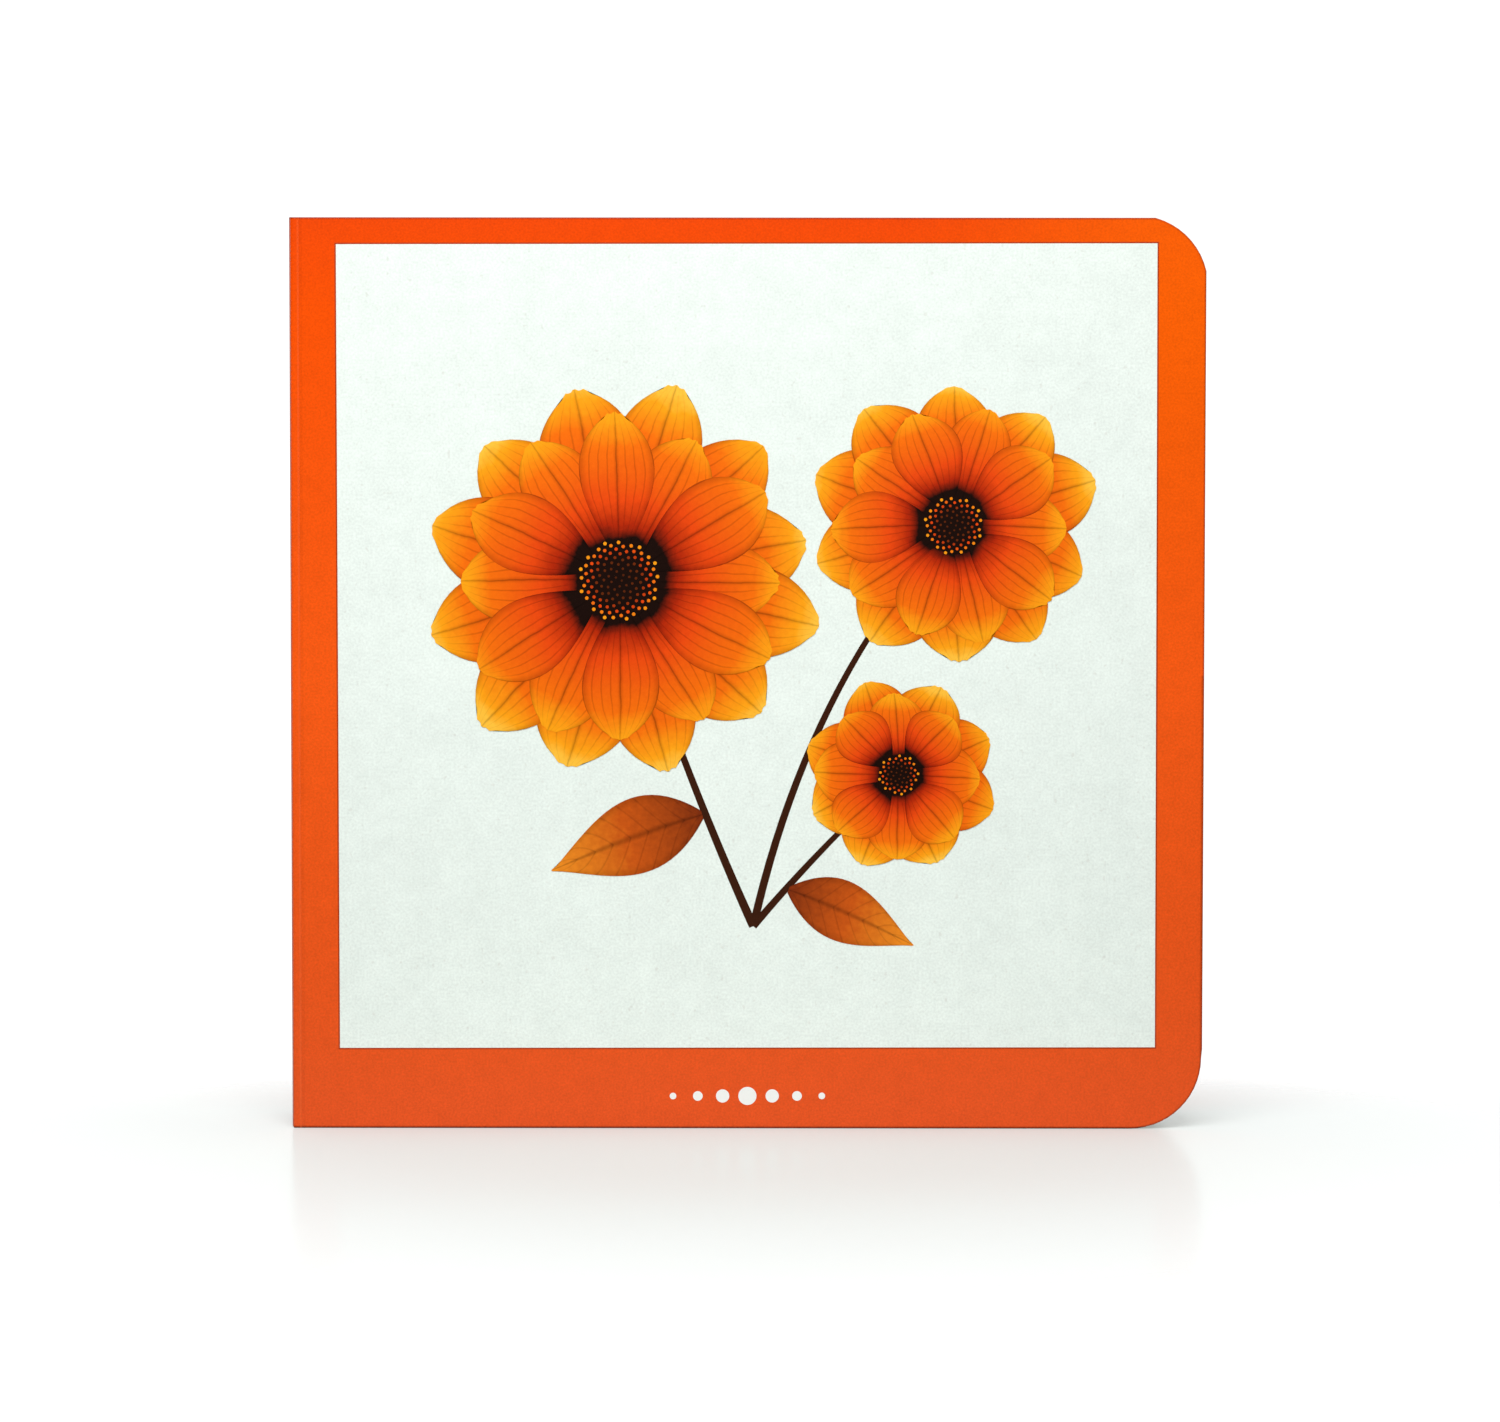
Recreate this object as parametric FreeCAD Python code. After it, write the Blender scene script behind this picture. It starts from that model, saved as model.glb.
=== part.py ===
import FreeCAD
import Part
import math
import os

# A square board book for small children, standing closed on its tail edge.
#
# It has stiff board leaves made from spreads that are folded once and glued back to back. One printed
# cover sheet wraps the spine and faces the two cover boards, which hinge at the edges of the spine.
# Head, tail and fore-edge are trimmed flush, and a corner die rounds the two fore-edge corners through
# the whole book. Lengths are in millimetres: X runs from the spine to the fore-edge, Y from the front
# cover to the back cover, and Z up from the tail to the head. The origin is the middle of the tail.

# Whole book
book_height = 150.0  # tail edge to head edge
book_width = 150.5  # outside of the spine to the fore-edge

# Leaves
leaf_count = 9
leaf_thickness = 1.5  # two plies, from two spreads glued back to back
leaf_gap = 0.12  # air between two closed leaves
leaf_edge_bevel = 0.12  # crushed cut edge of a leaf
fold_thickness = 0.75  # one ply, where a spread turns in the gutter
fold_groove_depth = 0.45  # groove at the spine between two neighbouring folds
fold_groove_width = 0.5

# Covers and spine
cover_thickness = 1.5
cover_gap = 0.06  # air between a cover board and the first leaf
cover_edge_round = 0.25  # softened outer edge of a cover board
cover_inner_round = 0.1  # softened inner edge of a cover board
wrap_thickness = 0.5  # cover sheet where it wraps the spine
spine_fold_round = 0.8  # cover sheet turning from a cover on to the spine
score_inset = 1.5  # hinge score, measured from the outside of the spine
score_width = 0.4
score_depth = 0.12
hinge_clearance = 0.03  # from the outside of the spine out to a cover's hinge line

# Trimmed corners
corner_radius = 11.75  # of the die that rounds both fore-edge corners
head_overcut_x = 0.3  # at the head the die sat this far out past the fore-edge
head_overcut_z = 0.4  # and this far up past the head edge, so its arc meets both edges at an angle
tail_shoulder_step = 0.15  # at the tail it sat this far in, and left a small shoulder on the fore-edge
tail_shoulder_rise = 1.5
spine_corner_radius = 0.6  # blunted corner between spine and tail

# Places worked out from the sizes above
block_thickness = leaf_count * leaf_thickness + (leaf_count - 1) * leaf_gap
book_thickness = block_thickness + 2 * (cover_gap + cover_thickness)
spine_x = -book_width / 2
fore_edge_x = book_width / 2
block_x = spine_x + wrap_thickness
front_y = -book_thickness / 2
block_y = -block_thickness / 2
leaf_pitch = leaf_thickness + leaf_gap
cut_margin = 1.0  # how far a cutting solid runs past what it cuts


def point(x, z, y=0.0):
    return FreeCAD.Vector(x, y, z)


def line(start, end):
    return Part.LineSegment(start, end).toShape()


def arc_about(centre, radius, start, end, middle_angle):
    """An arc from start to end that passes the given angle, in degrees up from +X."""
    turn = math.radians(middle_angle)
    middle = centre + FreeCAD.Vector(math.cos(turn), 0, math.sin(turn)) * radius
    return Part.Arc(start, middle, end).toShape()


def trimmed_outline(left_x, left_radius):
    """The outline that the trimming knives and the corner die leave, as a face in the XZ plane."""
    head_reach_x = corner_radius - head_overcut_x
    head_reach_z = corner_radius - head_overcut_z
    head_centre = point(fore_edge_x - head_reach_x, book_height - head_reach_z)
    head_start = point(head_centre.x + math.sqrt(corner_radius**2 - head_reach_z**2), book_height)
    head_end = point(fore_edge_x, head_centre.z + math.sqrt(corner_radius**2 - head_reach_x**2))

    tail_centre = point(fore_edge_x - tail_shoulder_step - corner_radius, corner_radius)
    shoulder_top = point(fore_edge_x, corner_radius + tail_shoulder_rise)
    tail_start = point(fore_edge_x - tail_shoulder_step, corner_radius)
    tail_end = point(tail_centre.x, 0)

    left_head = point(left_x, book_height)
    left_tail = point(left_x, left_radius)
    edges = [
        line(left_head, head_start),
        arc_about(head_centre, corner_radius, head_start, head_end, 45),
        line(head_end, shoulder_top),
        line(shoulder_top, tail_start),
        arc_about(tail_centre, corner_radius, tail_start, tail_end, -45),
        line(tail_end, point(left_x + left_radius, 0)),
    ]
    if left_radius > 0:
        left_centre = point(left_x + left_radius, left_radius)
        left_start = point(left_x + left_radius, 0)
        edges.append(arc_about(left_centre, left_radius, left_start, left_tail, 225))
    edges.append(line(left_tail, left_head))
    return Part.Face(Part.Wire(edges))


def board(left_x, left_radius, low_y, thickness):
    """A flat board of the trimmed outline."""
    sheet = trimmed_outline(left_x, left_radius).extrude(FreeCAD.Vector(0, thickness, 0))
    sheet.translate(FreeCAD.Vector(0, low_y, 0))
    return sheet


def upright_box(low_x, high_x, low_y, high_y, low_z=0.0, high_z=book_height):
    return Part.makeBox(high_x - low_x, high_y - low_y, high_z - low_z, point(low_x, low_z, low_y))


def trimmed_edges(slab, y, left_x):
    """A board's outline edges in the plane at y, without the one at its left side."""
    close = 1e-4
    boxes = [(edge, edge.BoundBox) for edge in slab.Edges]
    in_plane = [(edge, box) for edge, box in boxes if abs(box.YMin - y) + abs(box.YMax - y) < close]
    return [edge for edge, box in in_plane if box.XMax > left_x + close]


def leaf(low_y):
    """One stiff leaf with crushed edges on its three trimmed sides."""
    slab = board(block_x, 0, low_y, leaf_thickness)
    bevel = min(leaf_edge_bevel, 0.4 * leaf_thickness)
    near = trimmed_edges(slab, low_y, block_x)
    far = trimmed_edges(slab, low_y + leaf_thickness, block_x)
    return slab.makeChamfer(bevel, near + far)


def fold_groove(middle_y):
    """The V groove that two neighbouring folds leave at the spine, as a cutting prism."""
    half = fold_groove_width / 2
    outside_x = block_x - cut_margin
    flare = half * (cut_margin + fold_groove_depth) / fold_groove_depth
    corners = [
        point(outside_x, -cut_margin, middle_y - flare),
        point(block_x + fold_groove_depth, -cut_margin, middle_y),
        point(outside_x, -cut_margin, middle_y + flare),
    ]
    profile = Part.Face(Part.makePolygon(corners + corners[:1]))
    return profile.extrude(point(0, book_height + 2 * cut_margin))


def page_block():
    """All leaves as one solid, joined only where the spreads turn in the gutter."""
    leaves = [leaf(block_y + i * leaf_pitch) for i in range(leaf_count)]
    folds = []
    for i in range(leaf_count - 1):
        low_y = block_y + i * leaf_pitch + leaf_thickness
        folds.append(upright_box(block_x, block_x + fold_thickness, low_y, low_y + leaf_gap))
    block = leaves[0].fuse(leaves[1:] + folds).removeSplitter()
    grooves = [fold_groove(block_y + i * leaf_pitch + leaf_thickness / 2) for i in range(leaf_count)]
    return block.cut(grooves)


def front_cover():
    """The front board: softened edges, the sheet's fold at the spine and the hinge score beside it."""
    uncut_x = spine_x - cut_margin
    slab = board(uncut_x, 0, front_y, cover_thickness)
    cover = slab.makeFillet(cover_edge_round, trimmed_edges(slab, front_y, uncut_x))
    inner_y = front_y + cover_thickness
    cover = cover.makeFillet(cover_inner_round, trimmed_edges(cover, inner_y, uncut_x))
    cover = cover.common(board(spine_x, spine_corner_radius, front_y, cover_thickness))
    return cover.cut([spine_fold(), hinge_score()])


def spine_fold():
    """What the sheet's rounded fold at the spine leaves out of the board's square corner."""
    radius = min(spine_fold_round, 0.8 * cover_thickness, score_inset - score_width / 2)
    low_z, high_z = -cut_margin, book_height + cut_margin
    outside_x, outside_y = spine_x - cut_margin, front_y - cut_margin
    corner = upright_box(outside_x, spine_x + radius, outside_y, front_y + radius, low_z, high_z)
    centre = point(spine_x + radius, low_z, front_y + radius)
    return corner.cut(Part.makeCylinder(radius, high_z - low_z, centre))


def hinge_score():
    """The shallow V pressed along the front of the cover beside the spine, as a cutting prism."""
    half = score_width / 2
    score_x = spine_x + score_inset
    flare = half * (cut_margin + score_depth) / score_depth
    corners = [
        point(score_x - flare, -cut_margin, front_y - cut_margin),
        point(score_x, -cut_margin, front_y + score_depth),
        point(score_x + flare, -cut_margin, front_y - cut_margin),
    ]
    profile = Part.Face(Part.makePolygon(corners + corners[:1]))
    return profile.extrude(point(0, book_height + 2 * cut_margin))


def back_cover():
    """The back board is the front board's mirror image in the middle plane of the book."""
    return front_cover().mirror(FreeCAD.Vector(0, 0, 0), FreeCAD.Vector(0, 1, 0))


def spine():
    """The cover sheet across the spine, glued to the folds of the spreads."""
    strip = upright_box(spine_x, spine_x + wrap_thickness, block_y, block_y + block_thickness)
    return strip.common(board(spine_x, spine_corner_radius, block_y, block_thickness))


nodes = {
    "page_block": page_block(),
    "front_cover": front_cover(),
    "back_cover": back_cover(),
    "spine": spine(),
}

os.makedirs("parts", exist_ok=True)
for name, shape in nodes.items():
    shape.exportStep(f"parts/{name}.step")
    box = shape.BoundBox
    print(
        f"{name}: {len(shape.Solids)} solid, valid {shape.isValid()}, {shape.Volume:.1f} mm3,"
        f" X {box.XMin:.2f} to {box.XMax:.2f}, Y {box.YMin:.2f} to {box.YMax:.2f},"
        f" Z {box.ZMin:.2f} to {box.ZMax:.2f}, {len(shape.Faces)} faces"
    )
print(f"book: {book_width:.2f} x {book_thickness:.2f} x {book_height:.2f} mm")
print(
    f"hinge lines: x {spine_x - hinge_clearance:.3f}, front y {front_y + cover_thickness:.3f},"
    f" back y {-front_y - cover_thickness:.3f}"
)
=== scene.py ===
# %% [markdown]
# # A square board book, finished and lit in Blender
#
# The book's solids come from a CAD model: a block of stiff leaves, two hinged cover boards and the strip
# of cover sheet across the spine. This lesson gives them their finishes, lays the printed picture on the
# front cover, and sets up the table, the light and the camera. The solids keep their shape and place, and
# everything added here is measured from them, so nothing has to be fitted by eye.

# %% Load the solids
import bpy
import math
import random
from mathutils import Matrix, Vector


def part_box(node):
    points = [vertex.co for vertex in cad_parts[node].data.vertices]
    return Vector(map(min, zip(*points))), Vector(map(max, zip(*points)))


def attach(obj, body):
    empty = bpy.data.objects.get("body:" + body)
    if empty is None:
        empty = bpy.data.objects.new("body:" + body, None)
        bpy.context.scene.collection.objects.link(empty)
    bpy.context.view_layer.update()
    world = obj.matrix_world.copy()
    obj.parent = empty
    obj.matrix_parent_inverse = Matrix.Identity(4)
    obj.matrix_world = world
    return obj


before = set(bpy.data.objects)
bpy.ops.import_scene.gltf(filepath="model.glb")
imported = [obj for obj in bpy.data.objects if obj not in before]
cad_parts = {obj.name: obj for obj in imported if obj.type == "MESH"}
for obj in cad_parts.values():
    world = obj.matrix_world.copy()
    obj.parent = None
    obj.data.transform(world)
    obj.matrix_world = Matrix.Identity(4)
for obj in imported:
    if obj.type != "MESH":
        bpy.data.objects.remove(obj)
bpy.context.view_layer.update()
print("solids:", sorted(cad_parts))

# %% [markdown]
# ## Where things are
#
# A book has its own words for its edges. The head is the top, the tail is the bottom, and the fore-edge is
# the side that opens. Blender counts in metres, so sizes of print and paper are written in millimetres and
# multiplied by mm. The boxes of the solids give the planes that the finishes and the print start from.
# Reading them from the solids, and not typing them again, keeps the look right if the book's size changes.

# %% Measure the solids
mm = 0.001

front_low, front_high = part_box("front_cover")
back_low, back_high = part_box("back_cover")
block_low, block_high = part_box("page_block")
spine_low, spine_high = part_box("spine")

front_face_y = front_low.y
back_face_y = back_high.y
spine_x = spine_low.x
fore_edge_x = front_high.x
book_height = front_high.z
cover_thickness = front_high.y - front_low.y
print(f"front face at y {front_face_y / mm:.2f} mm, spine at x {spine_x / mm:.2f} mm")

# %% [markdown]
# ## Shader maths that reads like sums
#
# A material in Blender is a graph of nodes, and a graph written node by node is hard to read. Here one
# small class wraps an output socket, so that a sum such as 1 - mask adds its Math nodes by itself. The
# second class holds one material and has a single method that makes any other node: first the node's
# settings, then the values or links of its inputs. Colours never go through Math nodes, which would turn
# them grey, but through a Mix node.


# %% A socket that can be used in sums
class Field:
    """A number that changes over a surface: one output of a shader node."""

    def __init__(self, finish, socket):
        self.finish = finish
        self.socket = socket

    def sum(self, operation, *terms):
        return self.finish.node("ShaderNodeMath", {"operation": operation}, dict(enumerate(terms)))

    def __add__(self, other):
        return self.sum("ADD", self, other)

    def __radd__(self, other):
        return self.sum("ADD", other, self)

    def __sub__(self, other):
        return self.sum("SUBTRACT", self, other)

    def __rsub__(self, other):
        return self.sum("SUBTRACT", other, self)

    def __mul__(self, other):
        return self.sum("MULTIPLY", self, other)

    def __rmul__(self, other):
        return self.sum("MULTIPLY", other, self)

    def __truediv__(self, other):
        return self.sum("DIVIDE", self, other)

    def __pow__(self, other):
        return self.sum("POWER", self, other)

    def __abs__(self):
        return self.sum("ABSOLUTE", self)

    def __lt__(self, other):
        return self.sum("LESS_THAN", self, other)

    def __gt__(self, other):
        return self.sum("GREATER_THAN", self, other)

    def fraction(self):
        return self.sum("FRACT", self)

    def sine(self):
        return self.sum("SINE", self)

    def either(self, other):
        """The larger of two numbers; of two masks, on where one of them is on."""
        return self.sum("MAXIMUM", self, other)

    def nearer(self, other):
        """The smaller of two distances."""
        return self.sum("MINIMUM", self, other)

    def fade(self, start, end):
        """0 before start, 1 after end, and a soft step between them."""
        settings = {"interpolation_type": "SMOOTHSTEP"}
        values = {"Value": self, "From Min": start, "From Max": end, "To Min": 0.0, "To Max": 1.0}
        return self.finish.node("ShaderNodeMapRange", settings, values)


# %% A material and the one way to add nodes to it
MIX_FACTOR, MIX_FIRST, MIX_SECOND, MIX_RESULT = 0, 6, 7, 2  # the colour sockets of a Mix node


class Finish:
    """The nodes of one material, or of the world, added one by one."""

    def __init__(self, owner):
        self.owner = owner
        self.owner.use_nodes = True
        self.tree = self.owner.node_tree
        self.tree.nodes.clear()

    def node(self, kind, settings=None, values=None, output=0):
        """Adds a node, with its settings first and then its inputs, and returns one of its outputs."""
        made = self.tree.nodes.new(kind)
        for name, value in (settings or {}).items():
            if name == "stops":
                self.fill_ramp(made.color_ramp, value)
            else:
                setattr(made, name, value)
        for name, value in (values or {}).items():
            if isinstance(value, Field):
                self.tree.links.new(value.socket, made.inputs[name])
            else:
                made.inputs[name].default_value = value
        return Field(self, made.outputs[output]) if len(made.outputs) else None

    def fill_ramp(self, ramp, stops):
        """Gives a colour ramp its stops, each a place from 0 to 1 and a colour."""
        while len(ramp.elements) < len(stops):
            ramp.elements.new(1.0)
        for element, (place, colour) in zip(ramp.elements, stops):
            element.position = place
            element.color = colour

    def point(self):
        """The point of the surface that is shaded, in metres, in the book's own frame."""
        return self.node("ShaderNodeTexCoord", output="Object")

    def parts(self, vector, axes):
        """The numbers that a vector has along some axes."""
        return [self.node("ShaderNodeSeparateXYZ", {}, {0: vector}, axis) for axis in axes]

    def place(self, axes):
        """The point, followed by its coordinates along some axes."""
        point = self.point()
        return point, *self.parts(point, axes)

    def noise(self, point, size, detail=2.0, stretch=(1, 1, 1)):
        """Cloudy noise from 0 to 1 whose blotches are about size metres across."""
        factors = [share / size for share in stretch]
        scaled = self.node("ShaderNodeVectorMath", {"operation": "MULTIPLY"}, {0: point, 1: factors})
        values = {"Vector": scaled, "Scale": 1.0, "Detail": detail}
        return self.node("ShaderNodeTexNoise", {}, values, "Fac")

    def mix(self, mask, first, second, blend="MIX"):
        """The first colour where mask is 0 and the second where it is 1."""
        settings = {"data_type": "RGBA", "blend_type": blend}
        values = {MIX_FACTOR: mask, MIX_FIRST: first, MIX_SECOND: second}
        return self.node("ShaderNodeMix", settings, values, MIX_RESULT)

    def shade(self, colour, brightness):
        """A colour made lighter or darker by a field of numbers around 1."""
        grey = self.node("ShaderNodeCombineColor", {}, {0: brightness, 1: brightness, 2: brightness})
        return self.mix(1.0, colour, grey, "MULTIPLY")

    def skin(self, colour, roughness, height=None, bump=0.0, gloss=0.5, more=None):
        """Closes the material: colour, roughness, how high it stands, and more sockets by their names."""
        values = {"Base Color": colour, "Roughness": roughness, "Specular IOR Level": gloss, **(more or {})}
        if height is not None:
            relief = {"Height": height, "Strength": 1.0, "Distance": bump}
            values["Normal"] = self.node("ShaderNodeBump", {}, relief)
        surface = self.node("ShaderNodeBsdfPrincipled", {}, values)
        self.node("ShaderNodeOutputMaterial", {}, {"Surface": surface})
        return self.owner

    def ink_note(self, axes):
        """Some of the three numbers that a film of ink carries at each of its points."""
        note = self.node("ShaderNodeAttribute", {"attribute_name": "ink_note"}, {}, "Vector")
        return self.parts(note, axes)


def blend(mask, first, second):
    """The first number where mask is 0 and the second where it is 1."""
    return first + (second - first) * mask


def new_finish(name):
    """An empty material with a name, ready for its nodes."""
    return Finish(bpy.data.materials.new(name))


print("shader helpers ready")

# %% [markdown]
# ## The colours
#
# Printers give a colour as it looks on paper, and a renderer wants the share of light that comes back.
# The function below turns the first into the second, so the palette can be written as it was read: from 0
# to 255 for red, green and blue. The palette is short, as on a printed book: one orange for the cover sheet,
# written down at a few heights because it changes a little on its way up, a cool off-white for the
# picture's ground, and the white and grey of paper and board. The picture's own inks come with the picture.


# %% The palette
def ink(red, green, blue):
    """The share of light that a colour returns, from how it looks between 0 and 255."""
    shares = [value / 255 for value in (red, green, blue)]
    linear = [s / 12.92 if s <= 0.04045 else ((s + 0.055) / 1.055) ** 2.4 for s in shares]
    return (*linear, 1.0)


orange_at_tail = ink(218, 80, 30)
orange_at_middle = ink(240, 88, 20)
orange_below_head = ink(231, 75, 0)
orange_at_head = ink(222, 66, 0)
orange_at_corner = ink(240, 102, 2)
cover_crease = ink(243, 122, 62)
print_ground = ink(229, 238, 231)
paper_speck = ink(150, 120, 100)
board_core = ink(202, 196, 184)
board_glue = ink(150, 141, 126)
page_white = ink(236, 236, 232)
print("cover sheet returns", [round(share, 3) for share in orange_at_middle[:3]])

# %% [markdown]
# ## Laminated cover sheet on a board
#
# The cover is grey-white board with a printed, film-laminated sheet on its outside, and white paper on
# its inside. At the trimmed edges all three show as thin lines. Three materials on three groups of faces
# would need the solid's faces to be sorted by hand. It is simpler to let the shader measure how deep a
# point lies below the outer face: less than a sheet's thickness is orange, close to the inner face is
# white paper, and what lies between is the cut board. Across the spine the sheet also wraps the end of
# the board. Painted shade darkens the sheet in a thin line along its edges, with a painted contact shadow
# at the tail. The shader finds that line from the distance to the outline, where the two round corners
# need the root of two squares. The ink is fullest at the head and duller at the tail, and the film has a
# faint relief that only shows in the gloss: a slow ripple of its own and the finer grain of the paper under
# it.

# %% What the sheet and the board are like
sheet_thickness = 0.22 * mm
sheet_roughness = 0.28
board_roughness = 0.75
board_fibre = 0.35 * mm
film_ripple = 5 * mm
film_grain = 0.5 * mm
film_relief = 0.012 * mm
print_gloss = 0.1


def cut_board(finish, point):
    """The colour of trimmed grey-white board: short fibres, torn a little along the cut."""
    fibres = finish.noise(point, board_fibre, 3.0, stretch=(0.5, 3.0, 0.5))
    return finish.shade(board_core, 0.86 + 0.28 * fibres)


def print_skin(finish, colour, point, roughness):
    """Closes the material of a printed sheet, under the relief of its laminating film."""
    relief = finish.noise(point, film_ripple, 2.0) + 0.25 * finish.noise(point, film_grain, 2.0)
    return finish.skin(colour, roughness, relief, film_relief, gloss=print_gloss)


print("the sheet is", sheet_thickness / mm, "mm thick")

# %% Where shade is painted on the sheet
corner_radius = 11.75 * mm
tail_corner_inset = 0.15 * mm  # the corner at the tail was rounded this far inside the fore-edge
head_corner_reach = (0.45 * mm, 0.4 * mm)  # how much further out and up it was rounded at the head
# The shade below is painted into the ink: a thin dark line along the outline, a contact shadow at the tail, a
# line at the head and a narrow strip beside the hinge score.
edge_shade_width = 0.5 * mm
tail_shadow_heights = (0.15 * mm, 0.55 * mm)  # heights between which the second dark line at the tail ends
score_x = spine_x + 1.5 * mm
score_half_width = 0.17 * mm
score_shade_x = score_x + 0.45 * mm
score_shade_half_width = 0.25 * mm


def edge_distance(x, z):
    """How far inside the cover's outline a point lies, near the edges; the fore-edge corners are round."""
    middle_z = book_height / 2
    at_head = z > middle_z
    centre_x = fore_edge_x - tail_corner_inset - corner_radius + head_corner_reach[0] * at_head
    centre_z = middle_z - corner_radius + head_corner_reach[1] * at_head
    past_x = (x - centre_x).either(0.0)
    past_z = (abs(z - middle_z) - centre_z).either(0.0)
    from_arc = corner_radius - (past_x**2 + past_z**2) ** 0.5
    return from_arc.nearer(x - spine_x).nearer(fore_edge_x - x).nearer(book_height - z).nearer(z)


def painted_edge_shade(x, z):
    """How much painted shade darkens the sheet: along its edges, most at the tail as a contact shadow, and
    beside the hinge score.
    """
    # all four terms are painted shade: the outline, a contact shadow at the tail, the head edge and the strip
    # beside the score
    edge = 1 - edge_distance(x, z).fade(0.0, edge_shade_width)
    painted_tail_shadow = 1 - z.fade(*tail_shadow_heights)
    painted_head_shade = 1 - (book_height - z).fade(0.0, edge_shade_width)
    strip = abs(x - score_shade_x) < score_shade_half_width
    return 0.5 * edge + 0.3 * painted_tail_shadow + 0.2 * painted_head_shade + 0.07 * strip


print("the hinge score lies at x", round(score_x / mm, 2), "mm")

# %% The finish of a cover board
paper_thickness = 0.07 * mm
paper_margin = 0.05 * mm  # the paper on the inside stops this far short of the spine
paper_roughness = 0.55
orange_cloud = 3 * mm
orange_grain = 0.35 * mm
orange_stops = [
    (0.0, orange_at_tail),
    (0.5, orange_at_middle),
    (0.9, orange_below_head),
    (1.0, orange_at_head),
]


def laminated_orange(finish, point, x, z):
    """The sheet's ink, a little uneven, with painted shade along its edges and a faint pale line along the
    hinge score.
    """
    height = z / book_height
    sheet = finish.node("ShaderNodeValToRGB", {"stops": orange_stops}, {"Fac": height})
    in_corner = height.fade(0.45, 0.95) * (x / fore_edge_x).fade(0.3, 1.0)
    sheet = finish.mix(0.55 * in_corner, sheet, orange_at_corner)
    cloud = finish.noise(point, orange_cloud, 3.0) - 0.5
    grain = finish.noise(point, orange_grain, 2.0) - 0.5
    # painted shade along the edges, at the tail and beside the score darkens the ink here
    sheet = finish.shade(sheet, 1.03 + 0.16 * cloud + 0.48 * grain - painted_edge_shade(x, z))
    on_score = abs(x - score_x) < score_half_width
    return finish.mix(0.22 * on_score, sheet, cover_crease)


def cover_board_finish(name, outer_y, inward):
    """The material of a cover whose outer face is at outer_y, with inward as the way to its inside."""
    finish = new_finish(name)
    point, x, y, z = finish.place("XYZ")
    depth = (y - outer_y) * inward
    on_sheet = (depth < sheet_thickness).either(x - spine_x < sheet_thickness)
    on_paper = (depth > cover_thickness - paper_thickness) * (x - spine_x > paper_margin)
    colour = finish.mix(on_sheet, cut_board(finish, point), laminated_orange(finish, point, x, z))
    colour = finish.mix(on_paper, colour, page_white)
    roughness = blend(on_paper, blend(on_sheet, board_roughness, sheet_roughness), paper_roughness)
    return print_skin(finish, colour, point, roughness)


def dress(node, material):
    """Puts a material on a solid from the CAD model."""
    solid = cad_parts[node]
    solid.data.materials.clear()
    solid.data.materials.append(material)
    print(node, "wears", material.name)


dress("front_cover", cover_board_finish("front_laminate", front_face_y, 1.0))
dress("back_cover", cover_board_finish("back_laminate", back_face_y, -1.0))

# %% [markdown]
# ## The strip across the spine
#
# This is the same printed sheet, glued to the folds of the pages. Only its outside is orange, and its two
# cut ends show white paper, as thin as they are. It shares the functions of the cover, so the ink matches.


# %% The finish of the spine
def spine_finish():
    """Orange on the outside of the spine and white paper behind it."""
    finish = new_finish("spine_laminate")
    point, x, z = finish.place("XZ")
    outside = x - spine_x < sheet_thickness
    colour = finish.mix(outside, cut_board(finish, point), laminated_orange(finish, point, x, z))
    return print_skin(finish, colour, point, blend(outside, board_roughness, sheet_roughness))


dress("spine", spine_finish())

# %% [markdown]
# ## The leaves
#
# Each leaf is two plies of board glued back to back, with coated white paper outside. On the trimmed
# edges that makes a fine stripe for every leaf: bright coating, grey-white board, a thin line of glue in
# the middle, board and coating again. A repeating picture would need unwrapping, so the stripe comes from
# arithmetic. The distance across the block, divided by the space from one leaf to the next, leaves a
# fraction that says where in its own leaf a point lies.

# %% The finish of the page block
leaf_thickness = 1.5 * mm
leaf_pitch = 1.62 * mm
glue_half_width = 0.035 * mm
glue_wander = 0.08 * mm
cut_edge_roughness = 0.8
page_roughness = 0.5
page_grain = 0.25 * mm
page_relief = 0.02 * mm
page_gloss = 0.35
leaf_count = round((block_high.y - block_low.y + leaf_pitch - leaf_thickness) / leaf_pitch)


def page_finish():
    """White pages with the plies of the board showing on their trimmed edges."""
    finish = new_finish("page_board")
    point, y = finish.place("Y")
    into_leaf = ((y - block_low.y) / leaf_pitch).fraction() * leaf_pitch
    from_middle = abs(into_leaf - leaf_thickness / 2)
    wander = finish.noise(point, 4 * mm, 2.0) - 0.5
    on_glue = abs(into_leaf - leaf_thickness / 2 + wander * glue_wander) < glue_half_width
    on_paper = from_middle > leaf_thickness / 2 - paper_thickness
    colour = finish.mix(on_glue * 0.6, cut_board(finish, point), board_glue)
    colour = finish.mix(on_paper, colour, page_white)
    grain = finish.noise(point, page_grain, 3.0)
    roughness = blend(on_paper, cut_edge_roughness, page_roughness)
    return finish.skin(colour, roughness, grain, page_relief, gloss=page_gloss)


dress("page_block", page_finish())
print("leaves with a stripe of their own:", leaf_count)

# %% [markdown]
# ## How the picture is laid on the cover
#
# Print has no thickness worth measuring, but two surfaces in exactly the same place flicker in a render.
# So every field of colour is a film about two hundredths of a millimetre thick, and the next lies on top
# of it. A film is a closed shell: a top, a bottom and a rim. The helper makes one from a grid of points,
# and each point may carry three numbers that its material can read, such as how far along a petal it lies.
# The print is turned by a tenth of a degree against the boards, as it is on a real book that the knife has
# met a little askew.

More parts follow.
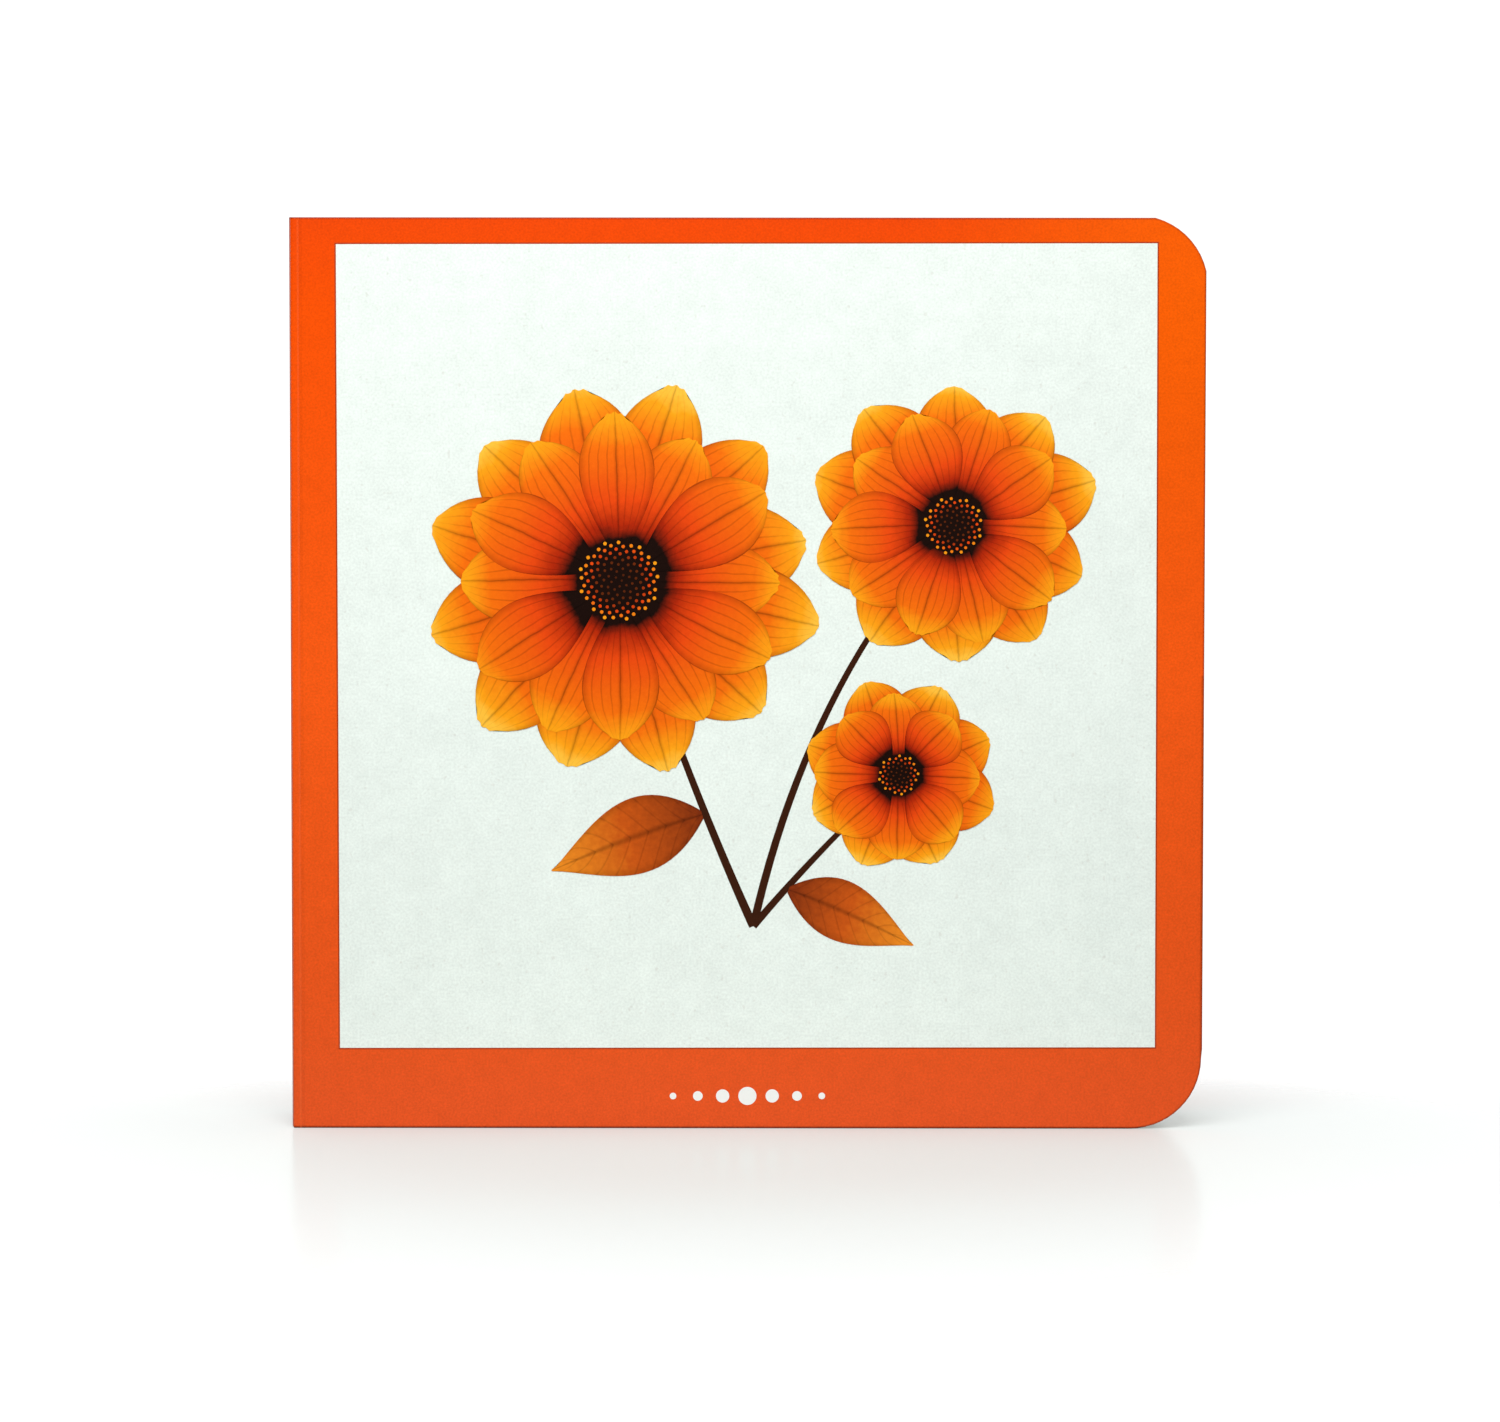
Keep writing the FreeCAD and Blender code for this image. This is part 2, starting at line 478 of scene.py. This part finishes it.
# %% Films of ink
layer_step = 0.015 * mm
film_depth = 1.5  # layers, so that a film reaches half a layer into the one below it
no_note = (0.0, 0.0, 0.0)
print_turn = math.radians(0.1)
panel_centre = Vector((-0.04, 0, 79.56)) * mm
panel_width = 134.65 * mm
panel_height = 132.25 * mm


def on_print(across, up, layer):
    """A point of the print, from its place beside the panel's centre and the number of its layer."""
    cosine, sine = math.cos(print_turn), math.sin(print_turn)
    x = panel_centre.x + across * cosine - up * sine
    z = panel_centre.z + across * sine + up * cosine
    return Vector((x, front_face_y - layer * layer_step, z))


class Film:
    """Fields of one ink layer, collected as vertices, faces and a note of three numbers per vertex."""

    def __init__(self, name, layer):
        self.name = name
        self.layer = layer
        self.points = []
        self.notes = []
        self.faces = []

    def add_level(self, places, notes, depth):
        """Adds one sheet of points and returns the number of its first."""
        first = len(self.points)
        self.points += [on_print(across, up, self.layer - depth) for across, up in places]
        self.notes += notes or [no_note] * len(places)
        return first

    def add_field(self, places, columns, notes=None, lift=0.0):
        """Adds a closed film over a grid of places, row after row, with columns points in a row."""
        rows = len(places) // columns
        top = self.add_level(places, notes, -lift)
        bottom = self.add_level(places, notes, film_depth - lift)
        for row in range(rows - 1):
            for column in range(columns - 1):
                a = row * columns + column
                quad = (a, a + 1, a + columns + 1, a + columns)
                self.faces.append([top + i for i in quad])
                self.faces.append([bottom + i for i in reversed(quad)])
        self.add_rim(top, bottom, self.border(rows, columns))

    def add_disc(self, places, notes=None):
        """Adds a closed film inside one loop of places."""
        top = self.add_level(places, notes, 0.0)
        bottom = self.add_level(places, notes, film_depth)
        loop = list(range(len(places)))
        self.faces.append([top + i for i in loop])
        self.faces.append([bottom + i for i in reversed(loop)])
        self.add_rim(top, bottom, loop)

    def border(self, rows, columns):
        """The numbers of a grid's outer points, in the order of the loop around it."""
        first_row = list(range(columns))
        last_column = [row * columns + columns - 1 for row in range(1, rows)]
        last_row = [(rows - 1) * columns + column for column in range(columns - 2, -1, -1)]
        first_column = [row * columns for row in range(rows - 2, 0, -1)]
        return first_row + last_column + last_row + first_column

    def add_rim(self, top, bottom, loop):
        """Closes the side of a film between the loop of its top and that of its bottom."""
        for here, after in zip(loop, loop[1:] + loop[:1]):
            self.faces.append([top + after, top + here, bottom + here, bottom + after])

    def lay(self, material):
        """Makes the object and lets it ride on the front cover."""
        mesh = bpy.data.meshes.new(self.name)
        mesh.from_pydata(self.points, [], self.faces)
        note = mesh.attributes.new("ink_note", "FLOAT_VECTOR", "POINT")
        note.data.foreach_set("vector", [number for entry in self.notes for number in entry])
        mesh.materials.append(material)
        mesh.update()
        film = bpy.data.objects.new(self.name, mesh)
        bpy.context.scene.collection.objects.link(film)
        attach(film, "front_board")
        print(f"{self.name}: {len(self.faces)} faces")


# %% [markdown]
# ## The ground of the picture
#
# The picture stands on an off-white square that looks like old drawing paper: very slightly green, palest
# at half its height, with clouds a few millimetres wide, a fine tooth and a few brown specks. The
# unevenness is noise at four sizes, kept faint, and for the specks only the highest peaks of the noise are
# let through. The film over it is the same lamination as on the orange, so the gloss of the cover runs on
# across it. Printers let two inks overlap by a hair, so that no gap opens between them. That trap shows as
# a thin dark line around the ground: it is a slightly larger rectangle laid below it.


# %% Lay the ground
ink_roughness = 0.3
cloud_size = 6 * mm
patch_size = 2.2 * mm
tooth_size = 0.4 * mm
speck_size = 0.9 * mm
trap_width = 0.25 * mm
trap_brown = ink(172, 62, 26)


def ground_finish():
    """Printed drawing paper under a laminating film: clouds, tooth and a few brown specks."""
    finish = new_finish("printed_ground")
    point, z = finish.place("Z")
    clouds = finish.noise(point, cloud_size, 4.0) - 0.5
    patches = finish.noise(point, patch_size, 3.0) - 0.5
    tooth = finish.noise(point, tooth_size, 2.0) - 0.5
    from_half_height = abs(z / panel_centre.z - 1)
    brightness = 1.06 - 0.07 * from_half_height + 0.12 * clouds + 0.11 * patches + 0.36 * tooth
    specks = finish.noise(point, speck_size, 1.0).fade(0.66, 0.8)
    colour = finish.mix(0.13 * specks, finish.shade(print_ground, brightness), paper_speck)
    return print_skin(finish, colour, point, ink_roughness)


def plain_ink_finish(name, colour, unevenness=0.2):
    """One flat field of ink, mottled a little by the paper below it."""
    finish = new_finish(name)
    point = finish.point()
    mottle = finish.noise(point, 0.6 * mm, 3.0) - 0.5
    return print_skin(finish, finish.shade(colour, 1 + unevenness * mottle), point, ink_roughness)


def rectangle_film(name, layer, width, height):
    """A film over a rectangle around the panel's centre."""
    film = Film(name, layer)
    places = [(side * width / 2, rise * height / 2) for rise in (-1, 1) for side in (-1, 1)]
    film.add_field(places, 2)
    return film


panel = rectangle_film("print_ground", 1, panel_width, panel_height)
panel.lay(ground_finish())
trap = rectangle_film("print_trap_line", 0.5, panel_width + 2 * trap_width, panel_height + 2 * trap_width)
trap.lay(plain_ink_finish("trap_ink", trap_brown))

# %% [markdown]
# ## The picture
#
# The picture is a sprig of three orange blossoms of different sizes on thin dark stems. Each blossom has
# two rings of petals around a dark heart. All petals could be painted by the shader of the ground, but then
# their outlines, veins and overlaps would be one long formula. Here each petal is a small grid instead. One
# number runs from its base to its tip and one from its left edge to its right edge, and the grid carries
# both to the shader, with a third number that gives every petal a tone of its own. A leaf is the same grid
# with a more pointed outline, and a stem is a grid three points wide along a curve.

# %% Shapes of petal, leaf and stem
rows_along = 22
columns_across = 12
blade_start = 0.02  # a petal or leaf is drawn from here to the end of its span, in shares of its length
blade_span = 0.95
tip_fullness = 0.03
hand = random.Random(7)


def petal_width(along):
    """The share of its full width that a petal has: narrow base, widest past the middle, round tip."""
    return math.sin(math.pi * along**1.45) ** 0.62


def leaf_width(along):
    """A leaf is widest before its middle and runs out to a point."""
    return math.sin(math.pi * along**0.8) ** 1.1


def blade_places(base, angle, length, half_width, width_at, bend=0.0, ripple=0.0):
    """The grid of a petal or leaf that grows from base: its places, and how far along and across each is."""
    places, shares = [], []
    for row in range(rows_along + 1):
        along = row / rows_along
        reach = blade_start + blade_span * along
        for column in range(columns_across):
            side = 2 * column / (columns_across - 1) - 1
            tip = along**10 * (tip_fullness * (1 - side**2) + ripple * math.cos(3 * math.pi * side))
            forward = length * (reach + tip)
            sideways = side * half_width * width_at(reach) + bend * along**2
            across = base[0] + forward * math.cos(angle) - sideways * math.sin(angle)
            up = base[1] + forward * math.sin(angle) + sideways * math.cos(angle)
            places.append((across, up))
            shares.append((along, side))
    return places, shares


def stem_point(stem, t):
    """The point at share t of a stem."""
    return [(1 - t) ** 2 * a + 2 * t * (1 - t) * b + t**2 * c for a, b, c in zip(*stem)]


def stem_run(stem, t):
    """The direction of a stem at share t."""
    return [(1 - t) * (b - a) + t * (c - b) for a, b, c in zip(*stem)]


def stem_places(stem, half_width):
    """The grid of a stem, three points wide and thicker towards its foot."""
    places = []
    for row in range(rows_along + 1):
        t = row / rows_along
        across, up = stem_point(stem, t)
        run = stem_run(stem, t)
        size = half_width * (0.75 + 0.6 * t) / math.hypot(*run)
        places += [(across - side * run[1] * size, up + side * run[0] * size) for side in (-1, 0, 1)]
    return places


print("points in a petal:", (rows_along + 1) * columns_across)

# %% [markdown]
# ## Stems and leaves
#
# These lie under the blossoms, so they are laid first. A stem runs from the middle of its blossom to a foot
# that all three share, and a point beside it says which way it bows. Where two stems cross, one lies a
# little higher. A leaf springs from a stem, at a share of the stem's length. A stem is one flat dark ink. A
# leaf has a middle vein, and side veins that run out at a slant: along such a line, the distance along the
# leaf grows in step with the distance from its middle. The sine of the two together is zero on every vein.

# %% Where the sprig grows
stem_foot = (1.0 * mm, -46.0 * mm)
blossoms = [  # middle of each blossom, its size beside the largest, and the petals in one of its rings
    ((-21.0 * mm, 11.0 * mm), 1.0, 12),
    ((34.0 * mm, 20.0 * mm), 0.72, 10),
    ((25.0 * mm, -21.0 * mm), 0.5, 8),
]
stem_bows = [(-9.0 * mm, -24.0 * mm), (10.0 * mm, -6.0 * mm), (12.0 * mm, -33.0 * mm)]
stem_half_widths = [0.54 * mm, 0.5 * mm, 0.46 * mm]
stems = [(middle, bow, stem_foot) for (middle, size, petals), bow in zip(blossoms, stem_bows)]
leaves = [  # stem and share of its length, direction in degrees, length, half width and bend
    (0, 0.62, 196, 27.0 * mm, 6.2 * mm, 2.0 * mm),
    (2, 0.76, -20, 23.0 * mm, 5.0 * mm, -1.6 * mm),
]
print("blossoms on the sprig:", len(blossoms))

# %% Lay the stems and leaves
stem_brown = ink(58, 28, 14)
leaf_stops = [(0.0, ink(120, 44, 14)), (0.5, ink(196, 84, 20)), (1.0, ink(232, 138, 34))]
leaf_vein_turn = 26.0  # radians of the sine from a leaf's base to its tip, with a vein at every half turn
leaf_vein_slant = 0.16


def leaf_finish():
    """Brown-orange leaf with a dark middle vein and slanting side veins."""
    finish = new_finish("leaf_ink")
    point = finish.point()
    along, side = finish.ink_note("XY")
    mottle = finish.noise(point, 0.9 * mm, 4.0) - 0.5
    colour = finish.node("ShaderNodeValToRGB", {"stops": leaf_stops}, {"Fac": along + 0.2 * mottle})
    from_vein = abs(((along - leaf_vein_slant * abs(side)) * leaf_vein_turn).sine())
    veins = 1 - from_vein.fade(0.0, 0.3)
    middle = 1 - abs(side).fade(0.0, 0.14)
    light = 1.02 + 0.2 * mottle - 0.2 * veins - 0.4 * middle - 0.25 * abs(side).fade(0.7, 1.0)
    return print_skin(finish, finish.shade(colour, light), point, ink_roughness)


stem_film = Film("print_stems", 2)
for number, (stem, half_width) in enumerate(zip(stems, stem_half_widths)):
    stem_film.add_field(stem_places(stem, half_width), 3, lift=number / 2)
stem_film.lay(plain_ink_finish("stem_ink", stem_brown, 0.4))

leaf_film = Film("print_leaves", 4)
for stem_number, share, degrees, length, half_width, bend in leaves:
    base = stem_point(stems[stem_number], share)
    places, shares = blade_places(base, math.radians(degrees), length, half_width, leaf_width, bend)
    leaf_film.add_field(places, columns_across, [(along, side, 0.0) for along, side in shares])
leaf_film.lay(leaf_finish())

# %% [markdown]
# ## Rings of petals
#
# A seeded random generator varies the length, width and direction of the petals, so that no two are alike
# and each run draws the same picture. Neighbours in a ring overlap, and two films in one place would
# flicker. So a ring has an even number of petals, and every second one goes on a film of its own, one step
# higher.

# %% Draw the rings
heart_radius = 6.4 * mm  # in the largest blossom, as are the sizes of the petals
full_ring = 12  # petals in a ring of the largest blossom; in a smaller ring they are wider beside it
back_petal = (32.5 * mm, 7.7 * mm)  # reach from the middle of the blossom, and half width
front_petal = (27.0 * mm, 6.6 * mm)


def draw_ring(names, first_layer, petal, first_turn):
    """One ring of petals around every blossom, as two films with every second petal on the upper one."""
    length, half_width = petal
    films = [Film(name, first_layer + number) for number, name in enumerate(names)]
    for middle, size, petals in blossoms:
        start = heart_radius * size * 0.5
        for number in range(petals):
            angle = 2 * math.pi * (number + first_turn + hand.uniform(-0.07, 0.07)) / petals
            base = (middle[0] + start * math.cos(angle), middle[1] + start * math.sin(angle))
            places, shares = blade_places(
                base,
                angle,
                (length * hand.uniform(0.95, 1.04)) * size - start,
                half_width * hand.uniform(0.93, 1.07) * size * full_ring / petals,
                petal_width,
                hand.uniform(-1.3, 1.3) * mm * size,
                hand.uniform(0.002, 0.008),
            )
            tone = hand.random()
            notes = [(along, side, tone) for along, side in shares]
            films[number % 2].add_field(places, columns_across, notes)
    return films


back_names = ["print_back_petals_low", "print_back_petals_high"]
front_names = ["print_front_petals_low", "print_front_petals_high"]
back_ring = draw_ring(back_names, 5, back_petal, 0.5)
front_ring = draw_ring(front_names, 7, front_petal, 0.0)
print("petals drawn:", 2 * sum(petals for middle, size, petals in blossoms))

# %% [markdown]
# ## The petals' ink
#
# A petal is darkest at its base, glows red-orange along its middle and turns amber towards the tip, with
# fine veins that fan out from the base. The colour along the petal is a ramp, because its stops can be
# set one by one. The veins are a sine of the number that runs across: where the sine is close to zero a
# thin line is left, and a little noise keeps the lines from being ruled. The outline is darker too, as
# ink pools and as the petal behind lies in shade.

# %% Print the petals
blotch_black = ink(26, 12, 8)
deep_red = ink(170, 38, 8)
red_orange = ink(226, 70, 14)
warm_orange = ink(238, 108, 12)
amber = ink(246, 158, 22)
pale_amber = ink(250, 188, 60)
petal_vein_turn = 12.6  # radians of the sine from a petal's middle to its rim, with a vein at every half turn
back_stops = [
    (0.0, deep_red),
    (0.5, red_orange),
    (0.76, warm_orange),
    (0.93, amber),
    (1.0, pale_amber),
]
front_stops = [
    (0.0, blotch_black),
    (0.17, blotch_black),
    (0.27, deep_red),
    (0.44, red_orange),
    (0.82, warm_orange),
    (1.0, amber),
]


def petal_finish(name, stops, shaded_until):
    """The ink of one ring of petals; what lies below shaded_until is in the shade of other petals."""
    finish = new_finish(name)
    point = finish.point()
    along, side, tone = finish.ink_note("XYZ")
    mottle = finish.noise(point, 0.8 * mm, 4.0) - 0.5
    drift = finish.noise(point, 4 * mm, 2.0) - 0.5
    ramp_place = along + 0.10 * drift + 0.10 * (tone - 0.5) + 0.04 * mottle
    colour = finish.node("ShaderNodeValToRGB", {"stops": stops}, {"Fac": ramp_place})
    from_vein = abs(((side + 0.10 * drift) * petal_vein_turn).sine())
    line = (1 - from_vein.fade(0.0, 0.42)) * along.fade(0.08, 0.3) * (1 - 0.6 * along.fade(0.7, 1.0))
    middle = 1 - abs(side + 0.05 * drift).fade(0.0, 0.10)
    rim = abs(side).fade(0.78, 1.0)
    shade = 1 - along.fade(shaded_until - 0.22, shaded_until)
    light = 1.04 + 0.16 * mottle - 0.30 * line - 0.26 * middle - 0.30 * rim - 0.38 * shade
    return print_skin(finish, finish.shade(colour, light), point, ink_roughness)


back_ink = petal_finish("back_petal_ink", back_stops, 0.62)
front_ink = petal_finish("front_petal_ink", front_stops, 0.12)
for film in back_ring:
    film.lay(back_ink)
for film in front_ring:
    film.lay(front_ink)

# %% [markdown]
# ## The hearts of the blossoms
#
# A heart is a near-black disc with rings of small florets. Florets sit on a spiral: each is turned by the
# golden angle from the one before and lies a little further out, as seeds do in a sunflower. That one rule
# places them all, so a loop of small round films is enough. They grow towards the rim, where they are
# amber, and stay dark in the middle.

# %% Draw the hearts
golden_angle = math.pi * (3 - math.sqrt(5))
floret_count = 120  # in the largest heart
floret_spread = 1.03  # the outermost florets stand a little over the heart's rim
floret_stops = [(0.0, ink(70, 30, 12)), (0.55, ink(96, 40, 12)), (0.8, red_orange), (1.0, amber)]
heart_corners = 48
floret_corners = 10


def circle_places(middle, radius, corners):
    """The points of a small circle on the print."""
    turns = [2 * math.pi * corner / corners for corner in range(corners)]
    return [(middle[0] + radius * math.cos(turn), middle[1] + radius * math.sin(turn)) for turn in turns]


def floret_finish():
    """Florets from dark brown in the middle of the heart to amber at its rim."""
    finish = new_finish("floret_ink")
    outwards = finish.ink_note("X")[0]
    colour = finish.node("ShaderNodeValToRGB", {"stops": floret_stops}, {"Fac": outwards})
    return print_skin(finish, colour, finish.point(), ink_roughness)


hearts = Film("print_hearts", 9)
florets = Film("print_florets", 10)
for middle, size, petals in blossoms:
    radius = heart_radius * size
    hearts.add_disc(circle_places(middle, radius, heart_corners))
    count = round(floret_count * size)
    for number in range(count):
        outwards = math.sqrt((number + 0.5) / count)
        reach = radius * floret_spread * outwards
        turn = number * golden_angle
        place = (middle[0] + reach * math.cos(turn), middle[1] + reach * math.sin(turn))
        floret_radius = (0.18 + 0.13 * outwards) * mm * size**0.5
        places = circle_places(place, floret_radius, floret_corners)
        florets.add_disc(places, [(outwards, 0.0, 0.0)] * len(places))
hearts.lay(plain_ink_finish("heart_ink", blotch_black))
florets.lay(floret_finish())

# %% [markdown]
# ## The ornament in the lower border
#
# The wide orange border below the picture carries a small white ornament in its middle: a row of dots that
# grow towards the centre. It is printed in the sheet's own white, so it is a field of plain ink like the
# rest. A row of circles from a loop is all that it takes.

# %% Draw the ornament
ornament_z = 5.4 * mm
dot_spacing = 4.1 * mm
dot_radii = [0.55 * mm, 0.8 * mm, 1.1 * mm, 1.5 * mm, 1.1 * mm, 0.8 * mm, 0.55 * mm]
dot_corners = 40
dot_white = ink(236, 238, 234)

dots = Film("print_dots", 1)
for number, radius in enumerate(dot_radii):
    across = (number - (len(dot_radii) - 1) / 2) * dot_spacing
    dots.add_disc(circle_places((across, ornament_z - panel_centre.z), radius, dot_corners))
dots.lay(plain_ink_finish("ornament_ink", dot_white, 0.04))

# %% [markdown]
# ## The table
#
# The book stands on a shooting table: a white sheet of acrylic that glows a little from lamps below it, as
# is used to take pictures of goods on pure white. Its own glow fills the shadows, and a thin rough coat
# shows a faint reflection of the book's lower edge that is gone a few centimetres away. Further out the
# sheet would end in a line behind the book, so it fades into the white around it, and behind the book,
# where the real table is washed out by its backdrop, it does so sooner.


# %% Set the table
table_radius = 600 * mm
table_corners = 96
table_grey = (0.452, 0.474, 0.463, 1.0)
table_roughness = 0.4
table_glow = 0.25
glow_colour = (0.95, 1.0, 0.98, 1.0)
coat_share = 0.24
coat_roughness = 0.2
smudge_size = 60 * mm
fade_start = 50 * mm  # distances from the middle of the book
fade_end = 200 * mm
fade_behind = 2.4  # how much more the distance behind the book counts


def table_finish():
    """White acrylic with a weak glow and a blurred coat, thinning out away from the book."""
    finish = new_finish("white_table")
    point, x, y = finish.place("XY")
    smudge = finish.noise(point, smudge_size, 3.0)
    colour = finish.shade(table_grey, 0.98 + 0.03 * smudge)
    behind = fade_behind * y.either(0.0)
    from_middle = (x**2 + y**2 + behind**2) ** 0.5
    more = {
        "Alpha": 1 - from_middle.fade(fade_start, fade_end),
        "Emission Color": glow_colour,
        "Emission Strength": table_glow,
        "Coat Weight": coat_share,
        "Coat Roughness": coat_roughness,
    }
    return finish.skin(colour, table_roughness, gloss=0.0, more=more)


turns = [2 * math.pi * corner / table_corners for corner in range(table_corners)]
table_edge = [(table_radius * math.cos(turn), table_radius * math.sin(turn), 0) for turn in turns]
table_mesh = bpy.data.meshes.new("table")
table_mesh.from_pydata(table_edge, [], [list(range(table_corners))])
table_mesh.materials.append(table_finish())
table = bpy.data.objects.new("table", table_mesh)
bpy.context.scene.collection.objects.link(table)
print("table of radius", table_radius, "m")

# %% [markdown]
# ## The light
#
# Beside the table's own glow, two things light the cover: a large soft lamp in front of the book, high up
# and a little to the left, and the white room. The lamp makes the head of the cover brighter than the tail
# and throws the soft shadow behind the book to the right. The room is brighter behind the book than in
# front of it, as before a lit backdrop, which keeps the gloss of the cover from veiling its ink. What the
# camera sees past the table is plain white. Blender's Standard view shows colours as they are worked out,
# which suits print.


# %% Light the studio
lamp_place = (-45 * mm, -300 * mm, 440 * mm)
lamp_target = (0.0, 0.0, 120 * mm)
lamp_size = 400 * mm
lamp_power = 3.15  # watts
room_strength = 0.54  # from the sides; the backdrop adds to it behind the book and takes from it in front
backdrop_slope = 0.5
backdrop_glow = 1.1
seen_strength = 1.1


def soft_lamp(name, place, target, size, power):
    """A square area lamp that looks at target."""
    light = bpy.data.lights.new(name, "AREA")
    light.shape = "SQUARE"
    light.size = size
    light.energy = power
    lamp = bpy.data.objects.new(name, light)
    bpy.context.scene.collection.objects.link(lamp)
    direction = Vector(target) - Vector(place)
    lamp.location = place
    lamp.rotation_euler = direction.to_track_quat("-Z", "Y").to_euler()


def light_room():
    """A white world that is brighter towards the back, and plain white where it is looked at."""
    room = Finish(bpy.data.worlds.new("white_studio"))
    direction = room.node("ShaderNodeTexCoord", output="Generated")
    backwards = room.parts(direction, "Y")[0]
    seen = room.node("ShaderNodeLightPath", output="Is Camera Ray")
    lighting = room_strength + backdrop_slope * backwards + backdrop_glow * backwards.fade(0.8, 0.98)
    strength = blend(seen, lighting, seen_strength)
    air = room.node("ShaderNodeBackground", {}, {"Color": (1, 1, 1, 1), "Strength": strength})
    room.node("ShaderNodeOutputWorld", {}, {"Surface": air})
    bpy.context.scene.world = room.owner


light_room()
soft_lamp("overhead_lamp", lamp_place, lamp_target, lamp_size, lamp_power)
bpy.context.scene.view_settings.view_transform = "Standard"
print("lamp of", lamp_power, "W")

# %% [markdown]
# ## The camera
#
# The picture was taken from half a metre away, a little above the middle of the cover, with the lens
# tipped down by a little under two degrees. Those numbers were worked out from where the edges of the cover
# and of the printed square lie in the photograph, so they are written here as angles and a focal length.
# Turning them into a camera takes three directions at right angles: ahead, to the right and up.

# %% Place the camera
camera_pitch = math.radians(1.845)
camera_yaw = math.radians(-0.08)
camera_roll = math.radians(0.049)
focal_length = 72.5
sensor_width = 36.0
near_clip = 10 * mm
camera_place = Vector((1.16, -497.2, 85.1)) * mm + Vector((0.0, front_face_y, 0.0))

ahead = Vector(
    (
        math.sin(camera_yaw) * math.cos(camera_pitch),
        math.cos(camera_yaw) * math.cos(camera_pitch),
        -math.sin(camera_pitch),
    )
)
level_right = Vector((math.cos(camera_yaw), -math.sin(camera_yaw), 0.0))
level_up = level_right.cross(ahead)
right = level_right * math.cos(camera_roll) + level_up * math.sin(camera_roll)
up = right.cross(ahead)

lens = bpy.data.cameras.new("camera")
lens.lens = focal_length
lens.sensor_width = sensor_width
lens.clip_start = near_clip
camera = bpy.data.objects.new("camera", lens)
camera.matrix_world = Matrix.Translation(camera_place) @ Matrix((right, up, -ahead)).transposed().to_4x4()
bpy.context.scene.collection.objects.link(camera)
bpy.context.scene.camera = camera
print("camera at", [round(value, 4) for value in camera_place])
